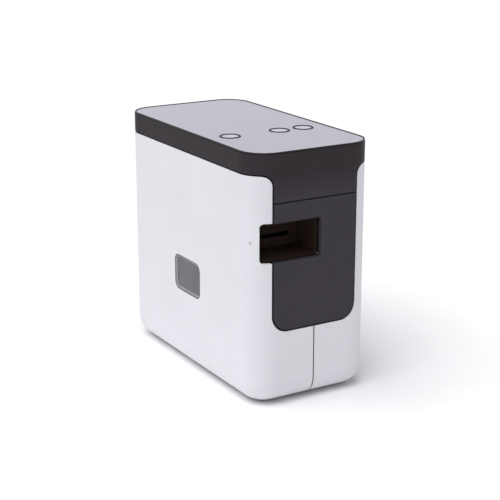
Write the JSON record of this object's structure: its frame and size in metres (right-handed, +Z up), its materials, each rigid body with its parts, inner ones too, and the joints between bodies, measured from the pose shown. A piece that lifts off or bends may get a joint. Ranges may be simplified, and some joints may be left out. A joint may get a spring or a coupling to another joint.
{
  "type": "label maker",
  "caption": "Upright desktop label printer with a hinged cassette cover, a label exit recess in the front and push buttons on top.",
  "frame": {"origin": "centre of the footprint, on the surface that the rubber feet stand on", "axes": "+Z up, +X to the right seen from the front, +Y towards the rear; the label comes out towards -Y"},
  "size_m": [0.078, 0.152, 0.143],
  "materials": {
    "white_plastic": "fine moulded texture, satin",
    "charcoal_plastic": "fine moulded texture, satin",
    "black_plastic": "satin",
    "inlay_plastic": "diagonal weave texture",
    "button_plastic": "smooth",
    "chassis_plastic": "moulded",
    "acetal": "smooth",
    "sheet_steel": "zinc plated",
    "polished_steel": "ground",
    "head_sink": "extruded",
    "head_ceramic": "glazed strip",
    "bronze": "sintered",
    "roller_rubber": "ground",
    "foot_rubber": "matt",
    "circuit_board": "solder mask",
    "components": "moulded",
    "window_plastic": "smoked clear",
    "cassette_plastic": "moulded",
    "tape": "laminated",
    "ribbon": "wound film",
    "core_plastic": "moulded",
    "cell_jacket": "printed jacket"
  },
  "bodies": {
    "housing": {"right_shell": "white_plastic", "top_cover": "charcoal_plastic", "top_inlay": "inlay_plastic", "front_panel": "charcoal_plastic", "exit_chute": "black_plastic", "deck": "chassis_plastic", "chassis_screws": "sheet_steel", "gear_plate": "sheet_steel", "feed_motor": "sheet_steel", "heat_sink": "head_sink", "print_head": "head_ceramic", "roller_bracket": "sheet_steel", "feed_bushings": "bronze", "holder_pin": "polished_steel", "cutter_frame": "sheet_steel", "fixed_blade": "polished_steel", "blade_pivot": "polished_steel", "cutter_motor": "sheet_steel", "main_board": "circuit_board", "board_parts": "components", "usb_socket": "sheet_steel", "dc_jack": "black_plastic", "switch_board": "circuit_board", "tact_switches": "components", "battery_box": "chassis_plastic", "battery_contacts": "sheet_steel", "battery_cells": "cell_jacket", "feet": "foot_rubber", "cassette_case": "cassette_plastic", "cassette_lid": "cassette_plastic", "label_tape": "tape", "cover_catch": "polished_steel", "hinge_pin": "polished_steel"},
    "cover": {"cassette_cover": "white_plastic", "window_lens": "window_plastic"},
    "battery_door": {"battery_cover": "white_plastic"},
    "power_key": {"power_button": "button_plastic"},
    "feed_key": {"feed_button": "button_plastic"},
    "link_key": {"link_button": "button_plastic"},
    "holder": {"roller_holder": "acetal", "holder_bushings": "bronze"},
    "platen": {"platen_roller": "roller_rubber", "platen_shaft": "polished_steel", "platen_gear": "acetal"},
    "pressure": {"pressure_roller": "roller_rubber", "pressure_shaft": "polished_steel"},
    "feed": {"feed_roller": "roller_rubber", "feed_shaft": "polished_steel", "feed_gear": "acetal"},
    "reducer": {"reduction_gear": "acetal"},
    "motor_rotor": {"motor_pinion": "bronze"},
    "takeup": {"takeup_spindle": "acetal", "takeup_spool": "core_plastic"},
    "cutter_blade": {"moving_blade": "polished_steel"},
    "cutter_drive": {"cutter_gear": "acetal"},
    "cutter_rotor": {"cutter_pinion": "bronze"},
    "roll": {"tape_core": "core_plastic", "tape_roll": "tape"},
    "ribbon": {"ribbon_spool": "ribbon"}
  },
  "joints": [
    {"name": "cover_hinge", "type": "hinge", "parent": "housing", "child": "cover", "pos_m": [-0.03119, 0.07148, 0.07], "axis": [0, 0, -1], "range_deg": [0, 90]},
    {"name": "battery_cover_hinge", "type": "hinge", "parent": "housing", "child": "battery_door", "pos_m": [0, -0.0539, 0.002], "axis": [-1, 0, 0], "range_deg": [0, 90]},
    {"name": "power_press", "type": "slide", "parent": "housing", "child": "power_key", "axis": [0, 0, -1], "range_m": [0, 0.001], "stiffness_N_per_m": 800, "springref_m": -0.0005},
    {"name": "feed_press", "type": "slide", "parent": "housing", "child": "feed_key", "axis": [0, 0, -1], "range_m": [0, 0.001], "stiffness_N_per_m": 800, "springref_m": -0.0005},
    {"name": "link_press", "type": "slide", "parent": "housing", "child": "link_key", "axis": [0, 0, -1], "range_m": [0, 0.001], "stiffness_N_per_m": 800, "springref_m": -0.0005},
    {"name": "holder_swing", "type": "hinge", "parent": "housing", "child": "holder", "pos_m": [-0.02, -0.0475, 0.112], "axis": [1, 0, 0], "range_deg": [0, 4.5]},
    {"name": "reducer_spin", "type": "hinge", "parent": "housing", "child": "reducer", "pos_m": [0, -0.03104, 0.0827], "axis": [1, 0, 0], "continuous": true},
    {"name": "motor_spin", "type": "hinge", "parent": "housing", "child": "motor_rotor", "pos_m": [0, -0.02184, 0.06677], "axis": [1, 0, 0], "continuous": true},
    {"name": "feed_spin", "type": "hinge", "parent": "housing", "child": "feed", "pos_m": [0, -0.04282, 0.0895], "axis": [1, 0, 0], "continuous": true},
    {"name": "platen_spin", "type": "hinge", "parent": "holder", "child": "platen", "pos_m": [0, -0.027, 0.0989], "axis": [1, 0, 0], "continuous": true},
    {"name": "pressure_spin", "type": "hinge", "parent": "holder", "child": "pressure", "pos_m": [0, -0.04282, 0.09835], "axis": [1, 0, 0], "continuous": true},
    {"name": "takeup_spin", "type": "hinge", "parent": "housing", "child": "takeup", "pos_m": [0, -0.01713, 0.07897], "axis": [1, 0, 0], "continuous": true},
    {"name": "roll_spin", "type": "hinge", "parent": "housing", "child": "roll", "pos_m": [0, -0.004, 0.054], "axis": [1, 0, 0], "continuous": true},
    {"name": "ribbon_spin", "type": "hinge", "parent": "housing", "child": "ribbon", "pos_m": [0, -0.001, 0.083], "axis": [1, 0, 0], "continuous": true},
    {"name": "cutter_drive_turn", "type": "hinge", "parent": "housing", "child": "cutter_drive", "pos_m": [0.022, -0.058, 0.09], "axis": [0, -1, 0], "range_deg": [-50, 0]},
    {"name": "blade_swing", "type": "hinge", "parent": "housing", "child": "cutter_blade", "pos_m": [0.003, -0.056, 0.095], "axis": [0, -1, 0], "range_deg": [0, 10]},
    {"name": "cutter_motor_spin", "type": "hinge", "parent": "housing", "child": "cutter_rotor", "pos_m": [0.022, -0.058, 0.1038], "axis": [0, -1, 0], "range_deg": [0, 180]}
  ],
  "couplings": [
    {"joint": "holder_swing", "follows": "cover_hinge", "ratio": 0.05},
    {"joint": "motor_spin", "follows": "reducer_spin", "ratio": -3.6},
    {"joint": "feed_spin", "follows": "reducer_spin", "ratio": -0.54546},
    {"joint": "platen_spin", "follows": "reducer_spin", "ratio": 0.5},
    {"joint": "pressure_spin", "follows": "reducer_spin", "ratio": 0.57143},
    {"joint": "takeup_spin", "follows": "reducer_spin", "ratio": -0.5},
    {"joint": "roll_spin", "follows": "reducer_spin", "ratio": -0.1206},
    {"joint": "ribbon_spin", "follows": "reducer_spin", "ratio": -0.34286},
    {"joint": "blade_swing", "follows": "cutter_drive_turn", "ratio": -0.2},
    {"joint": "cutter_motor_spin", "follows": "cutter_drive_turn", "ratio": -3.6}
  ]
}
